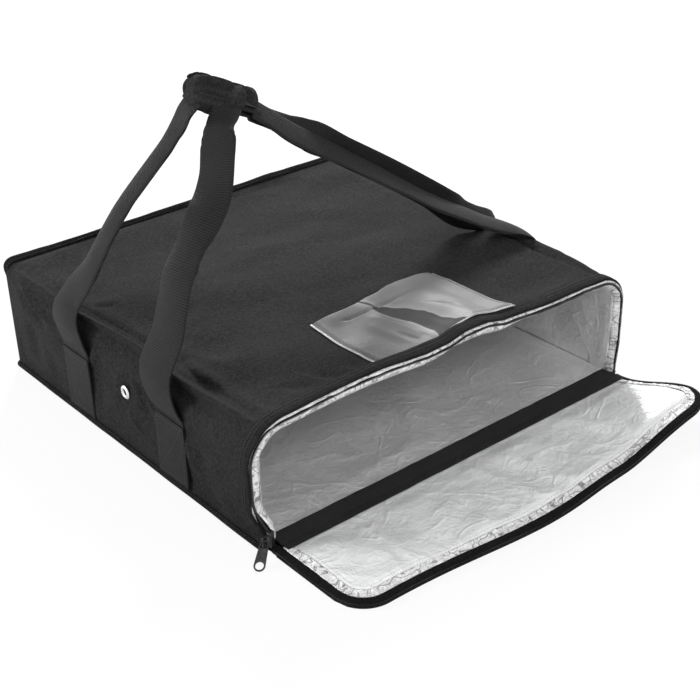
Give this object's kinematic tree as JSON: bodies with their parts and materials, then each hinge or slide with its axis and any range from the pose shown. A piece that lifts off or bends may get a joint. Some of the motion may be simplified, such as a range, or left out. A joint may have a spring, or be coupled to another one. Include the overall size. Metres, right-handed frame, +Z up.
{
  "type": "pizza delivery bag",
  "caption": "Soft insulated delivery bag for flat boxes, with an open zip mouth flap, foil lining, clear ticket pocket and two webbing straps joined by a wrapped hand grip.",
  "frame": {"origin": "centre of the bag's underside, on the ground it rests on", "axes": "+X towards the bag's right, -Y out of the mouth, +Z up"},
  "size_m": [0.5337, 0.618, 0.3761],
  "materials": {
    "fabric_black": "matte woven polyester",
    "webbing_black": "matte flat webbing",
    "foam_grey": "soft closed-cell foam, matte",
    "foil_silver": "crinkled metallised film",
    "zip_black": "moulded zip chain and its tape",
    "metal_black": "black enamelled zinc",
    "metal_steel": "bright plated",
    "vinyl_clear": "clear soft vinyl, glossy",
    "fastener_black": "hook and loop, napped"
  },
  "bodies": {
    "bag": {"bottom_shell": "fabric_black", "wrap_shell": "fabric_black", "back_shell": "fabric_black", "bottom_foam": "foam_grey", "top_foam": "foam_grey", "left_foam": "foam_grey", "right_foam": "foam_grey", "back_foam": "foam_grey", "bottom_lining": "foil_silver", "top_lining": "foil_silver", "left_lining": "foil_silver", "right_lining": "foil_silver", "back_lining": "foil_silver", "back_binding": "fabric_black", "foot_binding": "fabric_black", "mouth_zip_tape": "zip_black", "mouth_zip_teeth": "zip_black", "zip_stop_left": "metal_black", "zip_stop_right": "metal_black", "flap_hinge_tape": "webbing_black", "left_eyelet": "metal_steel", "left_eyelet_washer": "metal_steel", "right_eyelet": "metal_steel", "right_eyelet_washer": "metal_steel", "ticket_pocket": "vinyl_clear", "front_left_strap_sewn": "webbing_black", "front_left_strap_leg": "webbing_black", "rear_left_strap_sewn": "webbing_black", "rear_left_strap_leg": "webbing_black", "front_right_strap_sewn": "webbing_black", "front_right_strap_leg": "webbing_black", "rear_right_strap_sewn": "webbing_black", "rear_right_strap_leg": "webbing_black"},
    "mouth_flap": {"flap_shell": "fabric_black", "flap_foam": "foam_grey", "flap_lining": "foil_silver", "flap_edge_binding": "webbing_black", "flap_zip_tape": "zip_black", "flap_zip_teeth": "zip_black"},
    "zip_slider": {"zip_slider_body": "metal_black", "zip_slider_bail": "metal_black"},
    "zip_pull": {"zip_pull": "metal_black"},
    "carry_handle": {"front_strap_grip_run": "webbing_black", "rear_strap_grip_run": "webbing_black", "grip_wrap_panel": "fabric_black", "grip_loop_patch": "fastener_black"},
    "grip_wrap_leaf": {"grip_wrap_leaf": "fabric_black", "grip_hook_patch": "fastener_black"}
  },
  "joints": [
    {"name": "flap_hinge", "type": "hinge", "parent": "bag", "child": "mouth_flap", "pos_m": [0, -0.2437, 0.0036], "axis": [-1, 0, 0], "range_deg": [0, 90]},
    {"name": "slider_travel", "type": "slide", "parent": "bag", "child": "zip_slider", "axis": [0, 0, 1], "range_m": [0, 0.06]},
    {"name": "pull_swing", "type": "hinge", "parent": "zip_slider", "child": "zip_pull", "pos_m": [-0.2434, -0.23845, 0.0156], "axis": [-0.6157, 0.788, 0], "range_deg": [0, 110]},
    {"name": "handle_drop", "type": "slide", "parent": "bag", "child": "carry_handle", "axis": [0, 0, -1], "range_m": [0, 0.12], "deforming": ["front_left_strap_leg", "rear_left_strap_leg", "front_right_strap_leg", "rear_right_strap_leg"]},
    {"name": "wrap_leaf_opening", "type": "hinge", "parent": "carry_handle", "child": "grip_wrap_leaf", "pos_m": [-0.09121, 0.00104, 0.35621], "axis": [-0.9063, 0, 0.4226], "range_deg": [0, 150]}
  ]
}
